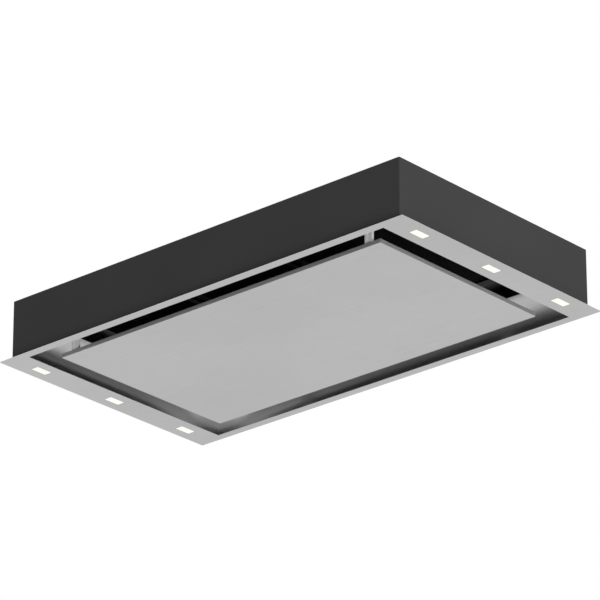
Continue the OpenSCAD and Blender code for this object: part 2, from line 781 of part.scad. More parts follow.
// Plan of the scroll, grown outwards by g and run on by e at its mouth. The outlet's outline starts and
// ends well inside the spiral, so that the two overlap
module scroll_plan(g, e) {
    inner = scroll_r0 / 2;
    polygon(concat([[0, 0]], [for (i = [0:scroll_steps])
        scroll_point(scroll_a0 + (scroll_a1 - scroll_a0) * i / scroll_steps, g)]));
    polygon([[inner, 0], [0, scroll_r1 + g], [-mouth_left - e, scroll_r1 + g],
        mouth_corner + g * lower_out - (e + g * lower_out[0]) / lower_run[0] * lower_run, tip + g * lower_out,
        [-inner, 0]]);
}

// Children at the four posts, in the scroll's plan
module boss_spots() { for (b = boss_shares) translate(b * scroll_r1) children(); }

// Arms from the scroll out to its four posts
module boss_plan() for (b = boss_shares) {
    translate(b * scroll_r1) circle(d = boss_d);
    rotate(atan2(b[1], b[0])) translate([0, -boss_arm_w / 2]) square([norm(b) * scroll_r1, boss_arm_w]);
}

module scroll_housing() color("#4b4d50") at_wheel() difference() {
    union() {
        translate([0, 0, scroll_z]) linear_extrude(scroll_t) { scroll_plan(scroll_t, 0); boss_plan(); }
        translate([0, 0, scroll_in_z]) linear_extrude(scroll_h) scroll_plan(scroll_t, 0);
    }
    translate([0, 0, scroll_in_z]) linear_extrude(scroll_h + cut) scroll_plan(0, cut);
    post(inlet_hole_d, scroll_z - cut, scroll_in_z + cut);
    boss_spots() post(grommet_d - 2 * grommet_lip, scroll_z - cut, scroll_in_z + cut);
}

module scroll_lid() color("#4b4d50") at_wheel() difference() {
    translate([0, 0, scroll_top_z]) linear_extrude(scroll_t) scroll_plan(scroll_t, 0);
    post(inlet_hole_d, scroll_top_z - cut, scroll_lid_z + cut);
}

// Bell-mouthed inlet rings, one under the scroll and one over its lid
module inlet_rings() color("#d9dadb") at_wheel() {
    translate([0, 0, scroll_z]) mirror([0, 0, 1]) inlet_ring();
    translate([0, 0, scroll_lid_z]) inlet_ring();
}

module inlet_ring() rotate_extrude() {
    throat = inlet_hole_d / 2 - bell_t - fit;
    translate([throat, -scroll_t]) square([bell_t, scroll_t]);
    translate([throat + bell_r + bell_t, 0]) difference() {
        circle(bell_r + bell_t);
        circle(bell_r);
        translate([0, -bell_r - 2 * bell_t]) square(2 * (bell_r + 2 * bell_t));
        translate([-2 * bell_r, -2 * bell_r]) square([4 * bell_r, 2 * bell_r]);
    }
}

module scroll_posts() color("#b3b5b8") at_wheel() boss_spots() {
    difference() {
        post(post_d, roof_top, scroll_z - grommet_lip);
        post(post_bore_d, roof_top - cut, scroll_z + cut);
    }
}

module rubber_grommets() color("#1d1d1e") at_wheel() boss_spots() difference() {
    union() {
        post(grommet_d, scroll_z - grommet_lip, scroll_z);
        post(grommet_d - 2 * grommet_lip - 2 * fit, scroll_z, scroll_in_z);
        post(grommet_d, scroll_in_z, scroll_in_z + grommet_lip);
    }
    post(post_bore_d, scroll_z - grommet_lip - cut, scroll_in_z + grommet_lip + cut);
}

module scroll_bolts() color("#c9cacc") at_wheel() boss_spots() {
    top = scroll_in_z + grommet_lip;
    head_d = screw_head_d + 2 * grommet_lip;
    translate([0, 0, top]) screw(screw_d, head_d, screw_head_h, top - roof_z + screw_d);
    post(screw_head_d, roof_z - screw_d, roof_z);
}

// Wheel: two shrouds and a middle disc carry a ring of blades that curve forwards

// Point of a blade at share t of its way out, on side s
function blade_point(t, s) =
    let(r = wheel_r - blade_ring * (1 - t), a = blade_sweep_angle * t * t)
    let(half = s * blade_t / 2)
    [r * cos(a) - half * sin(a), r * sin(a) + half * cos(a)];

module blade_plan() polygon(concat([for (i = [0:blade_steps]) blade_point(i / blade_steps, -1)],
    [for (i = [blade_steps:-1:0]) blade_point(i / blade_steps, 1)]));

module impeller() color("#2c2d2f") at_wheel() difference() {
    union() {
        for (i = [0:blade_n - 1]) rotate(360 * i / blade_n)
            translate([0, 0, wheel_z]) linear_extrude(wheel_h) blade_plan();
        for (z = [wheel_z, wheel_z + wheel_h - shroud_t]) difference() {
            post(2 * wheel_r + blade_t, z, z + shroud_t);
            post(2 * (wheel_r - blade_ring + shroud_t), z - cut, z + shroud_t + cut);
        }
        post(2 * wheel_r - blade_t, disc_z, disc_z + disc_t);
        post(2 * hub_r, disc_z - hub_h, disc_z + disc_t);
    }
    post(shaft_d, disc_z - hub_h - cut, disc_z + disc_t + cut);
}

module motor_shaft() color("#d4d6d8") at_wheel()
    post(shaft_d, disc_z - hub_h - shaft_over, spider_z - shaft_over);

module motor_body() color("#aeb0b2") at_wheel() rotate_extrude() difference() {
    union() {
        translate([0, motor_z]) square([motor_d / 2 - motor_r, motor_h]);
        translate([0, motor_z + motor_r]) square([motor_d / 2, motor_h - 2 * motor_r]);
        for (z = [motor_z + motor_r, motor_z + motor_h - motor_r]) translate([motor_d / 2 - motor_r, z])
            intersection() { circle(motor_r); translate([-motor_r, -motor_r]) square(2 * motor_r); }
    }
    translate([-cut, motor_z - cut]) square([shaft_d / 2 + fit + cut, motor_h + 2 * cut]);
}

// Three-legged spider over the upper inlet, with the motor under its hub
module motor_spider() color("#c3c5c8") at_wheel() difference() {
    foot = eye_reach + spider_foot_in;
    union() {
        post(2 * spider_r, spider_z, spider_z + spider_t);
        for (a = [60, 180, 300]) rotate(a) {
            span([0, -spider_w / 2, spider_z], [foot + spider_t, spider_w / 2, spider_z + spider_t]);
            span([foot, -spider_w / 2, scroll_lid_z], [foot + spider_t, spider_w / 2, spider_z + spider_t]);
            span([foot, -spider_w / 2, scroll_lid_z], [foot + spider_t + spider_foot, spider_w / 2,
                scroll_lid_z + spider_t]);
        }
    }
    post(shaft_d + 2 * fit, spider_z - cut, spider_z + spider_t + cut);
}

// Duct: a transition from the scroll's mouth to the round collar on the box's wall

module on_duct() { translate([-box_l / 2, duct_y, duct_z]) rotate([0, 90, 0]) children(); }

module duct_form(g) hull() {
    translate([-mouth_x, wheel_y - scroll_r1 - g, scroll_in_z - g])
        cube([cut, scroll_r1 - mouth_low + 2 * g, scroll_h + 2 * g]);
    on_duct() translate([0, 0, casing_t]) cylinder(d = duct_d + 2 * g, h = cut, $fn = 32);
}

module outlet_duct() color("#4b4d50") difference() {
    span_x = [-box_l / 2 + casing_t, -mouth_x];
    intersection() {
        duct_form(scroll_t);
        span([span_x[0], wheel_y - 2 * scroll_r1, scroll_z - scroll_h],
            [span_x[1], wheel_y, scroll_lid_z + scroll_h]);
    }
    duct_form(0);
    translate([-mouth_x - cut / 2, wheel_y - scroll_r1, scroll_in_z])
        cube([2 * cut, scroll_r1 - mouth_low, scroll_h]);
    on_duct() cylinder(d = duct_d, h = 2 * (casing_t + cut), center = true);
}

// Round collar on a square plate
module duct_collar() color("#b3b5b8") difference() {
    on_duct() mirror([0, 0, 1]) difference() {
        union() {
            slab(collar_plate, collar_plate, casing_r, 0, collar_t);
            post(collar_d, 0, collar_l);
        }
        post(collar_d - 2 * collar_t, -cut, collar_l + cut);
    }
    duct_rivet_spots() cylinder(d = rivet_d + 2 * fit, h = 2 * (collar_t + casing_t), center = true);
    at_flap_pin() cylinder(d = flap_pin_d + 2 * fit, h = collar_d + 2 * cut, center = true);
}

// Rivet places at the corners of the collar's plate
module duct_rivet_spots() on_duct()
    corners(collar_plate - 2 * collar_rivet_in, collar_plate - 2 * collar_rivet_in) children();

module duct_rivets() color("#c9cacc") duct_rivet_spots() mirror([0, 0, 1]) translate([0, 0, collar_t])
    screw(rivet_d, rivet_head_d, rivet_head_h, collar_t + casing_t);

// Backdraft flaps: two half discs on one upright pin across the collar

module at_flap_pin() { translate([-box_l / 2 - flap_x_in, duct_y, duct_z]) children(); }

module flap_pin() color("#d4d6d8") at_flap_pin()
    cylinder(d = flap_pin_d, h = collar_d - collar_t, center = true);

// One flap. It owns every second knuckle, counted from k0 up, and lies towards side s
module flap(s, k0) at_flap_pin() {
    r = collar_d / 2 - collar_t - flap_play;
    reach = sqrt(pow(r, 2) - pow(knuckle_r, 2));
    step = 2 * reach / knuckle_n;
    root = knuckle_r + knuckle_gap;
    difference() {
        union() {
            rotate([0, -90, 0]) linear_extrude(flap_t, center = true) intersection() {
                circle(r);
                translate([-r, s > 0 ? root : -r]) square([2 * r, r - root]);
            }
            for (k = [k0:2:knuckle_n - 1]) translate([0, 0, -reach + k * step + knuckle_gap / 2]) {
                cylinder(r = knuckle_r, h = step - knuckle_gap);
                span([-flap_t / 2, min(0, s * (root + cut)), 0],
                    [flap_t / 2, max(0, s * (root + cut)), step - knuckle_gap]);
            }
        }
        cylinder(d = flap_pin_d + 2 * fit, h = collar_d, center = true);
    }
}
module flap_near() color("#9a9c9e") flap(-1, 0);
module flap_far() color("#9a9c9e") flap(1, 1);

// Control box on the roof beside the blower

module at_control() { translate([control_spot[0], control_spot[1], roof_top]) children(); }
module at_gland() {
    translate([control_spot[0] + control_size[0] / 2, control_spot[1] + gland_off_y, roof_top + gland_z])
        rotate([0, 90, 0]) children();
}

module control_box() color("#8e9092") difference() {
    at_control() difference() {
        slab(control_size[0], control_size[1], control_r, 0, control_size[2] - casing_t);
        slab(control_size[0] - 2 * casing_t, control_size[1] - 2 * casing_t, control_r - casing_t, casing_t,
            control_size[2]);
    }
    at_gland() cylinder(d = gland_d + 2 * fit, h = 2 * (casing_t + cut), center = true);
}

module control_box_lid() color("#8e9092") at_control()
    slab(control_size[0], control_size[1], control_r, control_size[2] - casing_t, control_size[2]);

module control_board() color("#2e5a3c") at_control() translate(board_off) {
    board_z = casing_t + board_rise;
    slab(board_size[0], board_size[1], control_r, board_z, board_z + board_size[2]);
    corners(board_size[0] - 2 * board_post_d, board_size[1] - 2 * board_post_d)
        post(board_post_d, casing_t, board_z);
}

module capacitor() color("#dadbd6") at_control() translate([cap_off[0], cap_off[1], casing_t + cap_d / 2])
    rotate([90, 0, 0]) cylinder(d = cap_d, h = cap_l, center = true);

module terminal_block() color("#e6e4da") at_control() translate(block_off) difference() {
    slab(block_size[0], block_size[1], fit, casing_t, casing_t + block_size[2]);
    for (i = [-1:1]) translate([i * block_size[0] / 3, 0])
        post(screw_d, casing_t + block_size[2] / 2, casing_t + block_size[2] + cut);
}

// Cable gland for the mains lead
module cable_gland() color("#3a3b3d") at_gland() rotate_extrude() difference() {
    union() {
        translate([0, -gland_nut_t - casing_t]) square([gland_d / 2, gland_l]);
        translate([0, 0]) square([gland_nut_d / 2, gland_nut_t]);
        translate([0, -gland_nut_t - casing_t]) square([gland_nut_d / 2, gland_nut_t]);
    }
    translate([-cut, -gland_l]) square([gland_hole_d / 2 + cut, 3 * gland_l]);
}

flange_plate();
recess_liner();
filter_plate();
casing_shell();
roof_plate();
roof_screws();
hanger_brackets();
lamp_lenses();
lamp_housings();
lamp_boards();
lamp_driver();
hinge_bracket_left();
hinge_bracket_right();
hinge_pin_left();
hinge_pin_right();
catch_posts();
catch_magnets();
filter_magnets();
panel_skin();
panel_stiffeners();
panel_back();
hinge_arm_left();
hinge_arm_right();
strike_plates();
panel_rivets();
filter_frame_1();
filter_frame_2();
filter_frame_3();
filter_mesh_1();
filter_mesh_2();
filter_mesh_3();
filter_grip_1();
filter_grip_2();
filter_grip_3();
blower_box();
blower_box_lid();
blower_box_screws();
scroll_housing();
scroll_lid();
inlet_rings();
scroll_posts();
rubber_grommets();
scroll_bolts();
impeller();
motor_shaft();
motor_body();
motor_spider();
outlet_duct();
duct_collar();
duct_rivets();
flap_pin();
flap_near();
flap_far();
control_box();
control_box_lid();
control_board();
capacitor();
terminal_block();
cable_gland();
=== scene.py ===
"""Looks of the ceiling range hood: its finishes, small trim, studio light and the photograph's view."""

import json
import math

import bmesh
import bpy
from mathutils import Matrix, Vector


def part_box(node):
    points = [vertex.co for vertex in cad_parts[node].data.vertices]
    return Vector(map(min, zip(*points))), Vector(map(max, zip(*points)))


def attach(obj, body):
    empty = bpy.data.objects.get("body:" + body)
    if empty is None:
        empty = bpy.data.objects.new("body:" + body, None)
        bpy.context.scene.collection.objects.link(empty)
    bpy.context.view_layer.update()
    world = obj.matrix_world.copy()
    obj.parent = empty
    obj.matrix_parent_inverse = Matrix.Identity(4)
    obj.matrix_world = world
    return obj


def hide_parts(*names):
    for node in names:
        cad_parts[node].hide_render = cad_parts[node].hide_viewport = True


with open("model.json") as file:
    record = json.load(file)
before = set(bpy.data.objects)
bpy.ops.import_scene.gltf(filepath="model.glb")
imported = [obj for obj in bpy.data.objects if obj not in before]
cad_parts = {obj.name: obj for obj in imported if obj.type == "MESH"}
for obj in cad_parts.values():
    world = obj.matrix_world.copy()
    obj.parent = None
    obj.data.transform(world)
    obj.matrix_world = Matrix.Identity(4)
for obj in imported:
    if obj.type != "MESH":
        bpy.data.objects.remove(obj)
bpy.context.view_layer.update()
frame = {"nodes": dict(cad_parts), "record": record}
NODES = frame["nodes"]

# Studio, in metres; each lamp has a name, a place, a size and a power in watts
FLOOR_Z = -14.0
FLOOR_SIZE = 90.0
FLOOR_GREY = 244
FLOOR_ROUGHNESS = 0.9
AMBIENT = 0.35
LAMPS = [
    ("key", (9.0, -1.0, -3.0), 5.0, 670.0),
    ("front", (3.5, -6.5, -6.7), 4.0, 310.0),
    ("top", (-4.0, 5.0, 8.0), 6.0, 400.0),
]

# Camera, solved from the photograph's straight edges
CAMERA_AZIMUTH = math.radians(41.490)
CAMERA_ELEVATION = math.radians(-23.734)
CAMERA_ROLL = math.radians(-0.072)
CAMERA_DISTANCE = 9.691
CAMERA_AIM = Vector((0.02878, -0.01958, 0.07663))
CAMERA_LENS = 259.27
CAMERA_SENSOR = 36.0
CAMERA_REACH = 4 * FLOOR_SIZE

# Textures, in spots per metre
STEEL_GRAIN_ALONG = 12.0
STEEL_GRAIN_ACROSS = 1400.0
STEEL_CLOUD = 2.2
PAINT_CLOUD = 3.0
PAINT_PEEL = 420.0
MOULDED_CLOUD = 18.0
MOULDED_GRIT = 900.0
ZINC_SPANGLE = 85.0
ZINC_WAVE = 25.0
OPAL_CLOUD = 300.0
OPAL_GRIT = 700.0
MESH_CELLS = (330.0, 210.0, 330.0)

# Heights of their bumps, in metres
STEEL_GRAIN_H = 0.000004
PAINT_PEEL_H = 0.00002
MOULDED_GRIT_H = 0.00001
ZINC_WAVE_H = 0.0001
OPAL_GRIT_H = 0.00001
MESH_STRAND_H = 0.0004

# Noise: its levels of detail, its roughness, and the part of its range that shades go over
GRAIN_DETAIL = 4.0
OPAL_DETAIL = 3.0
CLOUD_DETAIL = 2.0
GRIT_DETAIL = 1.0
NOISE_ROUGHNESS = 0.55
NOISE_START = 0.25
NOISE_STOP = 0.75

# Darkest and palest of a texture, as shares of a finish's roughness or grey
STEEL_ROUGHNESS_SHARES = (0.92, 1.08)
PAINT_GREY_SHARES = (0.97, 1.03)
MOULDED_DARK_SHARE = 0.94

# Zinc, opal and mesh, with 8-bit colours
ZINC_DARK = (166, 168, 170)
ZINC_PALE = (188, 190, 192)
ZINC_ROUGHNESS = (0.36, 0.52)
ZINC_METALLIC = 0.4
OPAL_DARK = (52, 52, 48)
OPAL_PALE = (60, 60, 56)
OPAL_ROUGHNESS = 0.4
OPAL_LIGHT = (253, 253, 241)
OPAL_STRENGTH = 0.93
# Mesh greys are near-black as painted shade of the recess, and the cells take the darker one as painted shade
MESH_DARK = (6, 6, 6)
MESH_PALE = (32, 33, 34)
MESH_STRAND_TO_CELL = (0.7, 0.2)
MESH_METALLIC = 0.2
MESH_ROUGHNESS = 0.55
MESH_SPECULAR = 0.15

# Meshes, in metres: points of a round, distance at which two points are one, and digits that tell sizes apart
SEGMENTS = 32
TOUCH = 0.00001
SIZE_DIGITS = 5

# Screws: sizes in metres, and shares of the head's radius and height
SCREW_SHANK_R = 0.002
SCREW_HEAD_H = 0.0024
SCREW_HEAD_SHARES = [(1.0, 0.0), (1.0, 0.4), (0.94, 0.7), (0.8, 0.92), (0.62, 1.0)]
RECESS_LENGTH_SHARE = 0.42
RECESS_WIDTH_SHARE = 0.12
RECESS_FLOOR_SHARE = 0.7
RECESS_DEPTH = 0.0012
# Radians that a screw is turned by for each head radius along X and along Y
SCREW_TURNS = (7.3, 3.1)

# Cable gland: sizes in metres, and shares of its length, of the nuts' radius or of the body's radius
GLAND_BORE_R = 0.0042
GLAND_BODY_SHARE = 0.72
GLAND_THREAD_N = 4
GLAND_THREAD_STEP = 0.0006
GLAND_THREAD_DEPTH = 0.0004
GLAND_CAP_SHARES = (0.52, 0.86)
GLAND_TIP_SHARE = 0.8
GLAND_RIB_N = 9
GLAND_RIB_POINTS = 4
GLAND_GROOVE_SHARE = 0.93
NUT_SIDES = 6
NUT_HEIGHT_SHARE = 0.23
NUT_PLACE_SHARES = (0.0, 0.28)
NUT_CHAMFER_SHARE = 0.15
NUT_FACE_SHARE = 0.96
NUT_HOLE_SHARE = 0.97

# Covers of the lamp driver: shares of its length, with its ears and then without, and sizes in metres
DRIVER_BODY_SHARE = 0.875
DRIVER_CAP_SHARE = 0.16
DRIVER_CAP_PROUD = 0.0008
DRIVER_CAP_LIFT = 0.002
DRIVER_CAP_ROUND = 0.002
DRIVER_CAP_ROUND_STEPS = 3

# Lens rims: width and thickness in metres, and their section in shares of both
LENS_RIM_W = 0.0005
LENS_RIM_T = 0.0006
LENS_RIM_SHARES = [(0.0, 0.0), (0.0, -0.6), (0.2, -1.0), (0.8, -1.0), (1.0, -0.6), (1.0, 0.0)]


def linear(value):
    """Linear light of one 8-bit sRGB channel."""
    share = value / 255
    return share / 12.92 if share <= 0.04045 else ((share + 0.055) / 1.055) ** 2.4


def rgb(red, green=None, blue=None):
    """Linear colour with alpha from 8-bit sRGB channels; one number is a grey."""
    green = red if green is None else green
    blue = red if blue is None else blue
    return (linear(red), linear(green), linear(blue), 1.0)


class Finish:
    """A procedural material: a Principled shader and the nodes that feed it."""

    def __init__(self, name):
        self.material = bpy.data.materials.new(name)
        self.material.use_nodes = True
        self.tree = self.material.node_tree
        self.shader = self.tree.nodes["Principled BSDF"]
        self.output = self.tree.nodes["Material Output"]

    def node(self, kind, **properties):
        """New node with some of its properties set."""
        made = self.tree.nodes.new(kind)
        for name, value in properties.items():
            setattr(made, name, value)
        return made

    def link(self, source, target):
        """Feeds one socket from another."""
        self.tree.links.new(source, target)

    def set(self, values):
        """Sets inputs of the shader by name."""
        for name, value in values.items():
            self.shader.inputs[name].default_value = value

    def coordinates(self, scale):
        """Object coordinates in metres, times a scale for each axis."""
        where = self.node("ShaderNodeTexCoord")
        mapping = self.node("ShaderNodeMapping")
        mapping.inputs["Scale"].default_value = scale
        self.link(where.outputs["Object"], mapping.inputs["Vector"])
        return mapping.outputs["Vector"]

    def noise(self, scale, detail):
        """Noise about 0.5 with so many spots per metre along each axis."""
        made = self.node("ShaderNodeTexNoise")
        made.inputs["Scale"].default_value = 1.0
        made.inputs["Detail"].default_value = detail
        made.inputs["Roughness"].default_value = NOISE_ROUGHNESS
        self.link(self.coordinates(scale), made.inputs["Vector"])
        return made.outputs["Fac"]

    def even_noise(self, spots, detail):
        """Noise alike along all axes."""
        return self.noise((spots, spots, spots), detail)

    def between(self, factor, low, high, start=NOISE_START, stop=NOISE_STOP):
        """Maps a factor of start to stop onto low to high."""
        made = self.node("ShaderNodeMapRange")
        made.inputs["From Min"].default_value = start
        made.inputs["From Max"].default_value = stop
        made.inputs["To Min"].default_value = low
        made.inputs["To Max"].default_value = high
        self.link(factor, made.inputs["Value"])
        return made.outputs["Result"]

    def shade(self, factor, low, high, start=NOISE_START, stop=NOISE_STOP):
        """Base colour between two colours by a factor of start to stop."""
        made = self.node("ShaderNodeMix", data_type="RGBA")
        self.link(self.between(factor, 0.0, 1.0, start, stop), made.inputs["Factor"])
        made.inputs["A"].default_value = low
        made.inputs["B"].default_value = high
        self.link(made.outputs["Result"], self.shader.inputs["Base Color"])

    def roughen(self, factor, low, high, start=NOISE_START, stop=NOISE_STOP):
        """Roughness between two values by a factor of start to stop."""
        self.link(self.between(factor, low, high, start, stop), self.shader.inputs["Roughness"])

    def bump(self, factor, height):
        """Bump of a height in metres."""
        made = self.node("ShaderNodeBump")
        made.inputs["Distance"].default_value = height
        self.link(factor, made.inputs["Height"])
        self.link(made.outputs["Normal"], self.shader.inputs["Normal"])


def brushed_steel(name, grey, roughness, along="x", spread=0.05, metallic=1.0):
    """Brushed steel or light alloy with a fine grain along one axis."""
    made = Finish(name)
    scale = [STEEL_GRAIN_ALONG if axis == along else STEEL_GRAIN_ACROSS for axis in "xyz"]
    grain = made.noise(scale, GRAIN_DETAIL)
    cloud = made.even_noise(STEEL_CLOUD, CLOUD_DETAIL)
    made.shade(grain, rgb(grey * (1 - spread)), rgb(grey * (1 + spread)))
    made.roughen(cloud, *(share * roughness for share in STEEL_ROUGHNESS_SHARES))
    made.bump(grain, STEEL_GRAIN_H)
    made.set({"Metallic": metallic})
    return made.material


def painted(name, grey, roughness, specular):
    """Powder coat with a fine orange peel."""
    made = Finish(name)
    cloud = made.even_noise(PAINT_CLOUD, CLOUD_DETAIL)
    made.shade(cloud, *(rgb(share * grey) for share in PAINT_GREY_SHARES))
    made.bump(made.even_noise(PAINT_PEEL, GRIT_DETAIL), PAINT_PEEL_H)
    made.set({"Roughness": roughness, "Specular IOR Level": specular})
    return made.material


def moulded(name, color, roughness):
    """Moulded plastic or rubber with a fine texture."""
    made = Finish(name)
    cloud = made.even_noise(MOULDED_CLOUD, CLOUD_DETAIL)
    pale = rgb(*color)
    dark = tuple(MOULDED_DARK_SHARE * part for part in pale[:3]) + (1.0,)
    made.shade(cloud, dark, pale)
    made.bump(made.even_noise(MOULDED_GRIT, GRIT_DETAIL), MOULDED_GRIT_H)
    made.set({"Roughness": roughness})
    return made.material


def galvanised(name):
    """Zinc-coated sheet with soft spangles."""
    made = Finish(name)
    spangle = made.node("ShaderNodeTexVoronoi")
    made.link(made.coordinates((ZINC_SPANGLE, ZINC_SPANGLE, ZINC_SPANGLE)), spangle.inputs["Vector"])
    parts = made.node("ShaderNodeSeparateColor")
    made.link(spangle.outputs["Color"], parts.inputs["Color"])
    made.shade(parts.outputs["Red"], rgb(*ZINC_DARK), rgb(*ZINC_PALE), 0.0, 1.0)
    made.roughen(parts.outputs["Green"], *ZINC_ROUGHNESS, 0.0, 1.0)
    made.bump(made.even_noise(ZINC_WAVE, CLOUD_DETAIL), ZINC_WAVE_H)
    made.set({"Metallic": ZINC_METALLIC})
    return made.material


def lamp_glass(name):
    """Lit opal lens with a faint grain."""
    made = Finish(name)
    made.shade(made.even_noise(OPAL_CLOUD, OPAL_DETAIL), rgb(*OPAL_DARK), rgb(*OPAL_PALE))
    made.bump(made.even_noise(OPAL_GRIT, GRIT_DETAIL), OPAL_GRIT_H)
    made.set({"Roughness": OPAL_ROUGHNESS, "Emission Color": rgb(*OPAL_LIGHT),
              "Emission Strength": OPAL_STRENGTH})
    return made.material


def mesh_metal(name):
    """Pressed mesh, near-black as painted shade of the recess, with darker painted shade in its cells between
    the strands.
    """
    made = Finish(name)
    cells = made.node("ShaderNodeTexVoronoi", feature="DISTANCE_TO_EDGE")
    made.link(made.coordinates(MESH_CELLS), cells.inputs["Vector"])
    share = made.between(cells.outputs["Distance"], *MESH_STRAND_TO_CELL)
    made.shade(share, rgb(*MESH_DARK), rgb(*MESH_PALE))
    made.bump(cells.outputs["Distance"], -MESH_STRAND_H)
    made.set({"Metallic": MESH_METALLIC, "Roughness": MESH_ROUGHNESS, "Specular IOR Level": MESH_SPECULAR})
    return made.material


# Material slots: the kind of finish and its values, with 8-bit greys and colours
RECIPES = {
    "brushed_stainless": (brushed_steel, dict(grey=205, roughness=0.58, spread=0.04, metallic=0.88)),
    "liner_stainless": (brushed_steel, dict(grey=184, roughness=0.31)),
    "painted_casing": (painted, dict(grey=59, roughness=0.6, specular=0.08)),
    # The plate round the filters is near-black as painted shade of the unlit top of the recess
    "plate_coat": (painted, dict(grey=18, roughness=0.32, specular=0.35)),
    "galvanised": (galvanised, {}),
    "fastener_steel": (brushed_steel, dict(grey=200, roughness=0.3, along="z")),
    "bracket_steel": (brushed_steel, dict(grey=170, roughness=0.35, along="z")),
    "arm_steel": (brushed_steel, dict(grey=248, roughness=0.4, along="z", spread=0.02, metallic=0.15)),
    "magnet_black": (moulded, dict(color=(40, 40, 40), roughness=0.45)),
    "lamp_lens": (lamp_glass, {}),
    "lamp_housing": (moulded, dict(color=(214, 214, 210), roughness=0.45)),
    "board": (moulded, dict(color=(44, 92, 62), roughness=0.4)),
    # The filter frames and mesh are near-black as painted shade of the unlit recess above the panel
    "filter_aluminium": (brushed_steel, dict(grey=38, roughness=0.4, along="y", spread=0.12)),
    "filter_mesh": (mesh_metal, {}),
    "scroll_plastic": (moulded, dict(color=(74, 76, 80), roughness=0.5)),
    "wheel_plastic": (moulded, dict(color=(46, 47, 49), roughness=0.42)),
    "inlet_plastic": (moulded, dict(color=(200, 201, 202), roughness=0.4)),
    "rubber": (moulded, dict(color=(28, 28, 28), roughness=0.8)),
    "motor_alloy": (brushed_steel, dict(grey=172, roughness=0.45, along="z")),
    "flap_plastic": (moulded, dict(color=(150, 152, 154), roughness=0.5)),
}
FINISHES = {name: recipe(name, **values) for name, (recipe, values) in RECIPES.items()}


def dress_nodes():
    """Gives every CAD node the finish of its material slot."""
    for part in frame["record"]["subparts"]:
        mesh = NODES[part["node"]].data
        mesh.materials.clear()
        mesh.materials.append(FINISHES[part["material_slot"]])


def new_piece(name, shape, slot, body="hood"):
    """Piece from a filled bmesh, with its finish, riding on a body."""
    bmesh.ops.recalc_face_normals(shape, faces=shape.faces)
    mesh = bpy.data.meshes.new(name)
    shape.to_mesh(mesh)
    shape.free()
    mesh.materials.append(FINISHES[slot])
    piece = bpy.data.objects.new(name, mesh)
    bpy.context.scene.collection.objects.link(piece)
    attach(piece, body)
    return piece


def corners(points):
    """Lowest and highest corner of some points."""
    return Vector(map(min, zip(*points))), Vector(map(max, zip(*points)))


def islands(node):
    """The points of each separate solid in a CAD node."""
    shape = bmesh.new()
    shape.from_mesh(NODES[node].data)
    bmesh.ops.remove_doubles(shape, verts=shape.verts, dist=TOUCH)
    seen = set()
    solids = []
    for first in shape.verts:
        if first in seen:
            continue
        seen.add(first)
        queue = [first]
        points = []
        while queue:
            vert = queue.pop()
            points.append(vert.co.copy())
            for edge in vert.link_edges:
                other = edge.other_vert(vert)
                if other not in seen:
                    seen.add(other)
                    queue.append(other)
        solids.append(points)
    shape.free()
    return solids


def ring(shape, radius, height, count=SEGMENTS):
    """Ring of vertices about Z."""
    angles = [2 * math.pi * k / count for k in range(count)]
    return [shape.verts.new((radius * math.cos(a), radius * math.sin(a), height)) for a in angles]


def skin(shape, rings, closed=False):
    """Faces between each ring and the next, and back to the first where closed."""
    pairs = list(zip(rings, rings[1:]))
    if closed:
        pairs.append((rings[-1], rings[0]))
    for low, high in pairs:
        for k in range(len(low)):
            after = (k + 1) % len(low)
            shape.faces.new((low[k], low[after], high[after], high[k]))


def cross_plan(head_r):
    """The twelve corners of a screw's cross recess, anticlockwise."""
    reach = RECESS_LENGTH_SHARE * head_r
    half = RECESS_WIDTH_SHARE * head_r
    quarter = [(-reach, -half), (-half, -half), (-half, -reach)]
    plan = []
    for _ in range(4):
        plan += quarter
        quarter = [(-y, x) for x, y in quarter]
    return plan


def screw_template(head_r, length):
    """Mesh of a pan-head screw with a cross recess, its head's seat at the origin."""
    shape = bmesh.new()
    head = [(out * head_r, up * SCREW_HEAD_H) for out, up in SCREW_HEAD_SHARES]
    rings = [ring(shape, r, z) for r, z in [(SCREW_SHANK_R, -length), (SCREW_SHANK_R, 0.0)] + head]
    skin(shape, rings)
    shape.faces.new(rings[0])
    plan = cross_plan(head_r)
    rim = [shape.verts.new((x, y, SCREW_HEAD_H)) for x, y in plan]
    floor_z = SCREW_HEAD_H - RECESS_DEPTH
    floor = [shape.verts.new((RECESS_FLOOR_SHARE * x, RECESS_FLOOR_SHARE * y, floor_z)) for x, y in plan]
    skin(shape, [rim, floor])
    shape.faces.new(floor)
    loops = (rings[-1], rim)
    edges = [shape.edges.get((loop[k - 1], loop[k])) for loop in loops for k in range(len(loop))]
    bmesh.ops.triangle_fill(shape, use_beauty=True, edges=edges)
    mesh = bpy.data.meshes.new("screw_template")
    bmesh.ops.recalc_face_normals(shape, faces=shape.faces)
    shape.to_mesh(mesh)
    shape.free()
    return mesh


def make_screws(node, name):
    """Cross-recessed screws in place of a CAD node's plain ones, each turned to an angle of its own."""
    shape = bmesh.new()
    templates = {}
    for low, high in map(corners, islands(node)):
        head_r = (high.x - low.x) / 2
        length = high.z - low.z - SCREW_HEAD_H
        key = (round(head_r, SIZE_DIGITS), round(length, SIZE_DIGITS))
        if key not in templates:
            templates[key] = screw_template(head_r, length)
        start = len(shape.verts)
        shape.from_mesh(templates[key])
        shape.verts.ensure_lookup_table()
        made = shape.verts[start:]
        middle = (low + high) / 2
        angle = SCREW_TURNS[0] * middle.x / head_r + SCREW_TURNS[1] * middle.y / head_r
        bmesh.ops.rotate(shape, verts=made, cent=(0, 0, 0), matrix=Matrix.Rotation(angle, 3, "Z"))
        bmesh.ops.translate(shape, verts=made, vec=Vector((middle.x, middle.y, high.z - SCREW_HEAD_H)))
    piece = new_piece(name, shape, "fastener_steel")
    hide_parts(node)


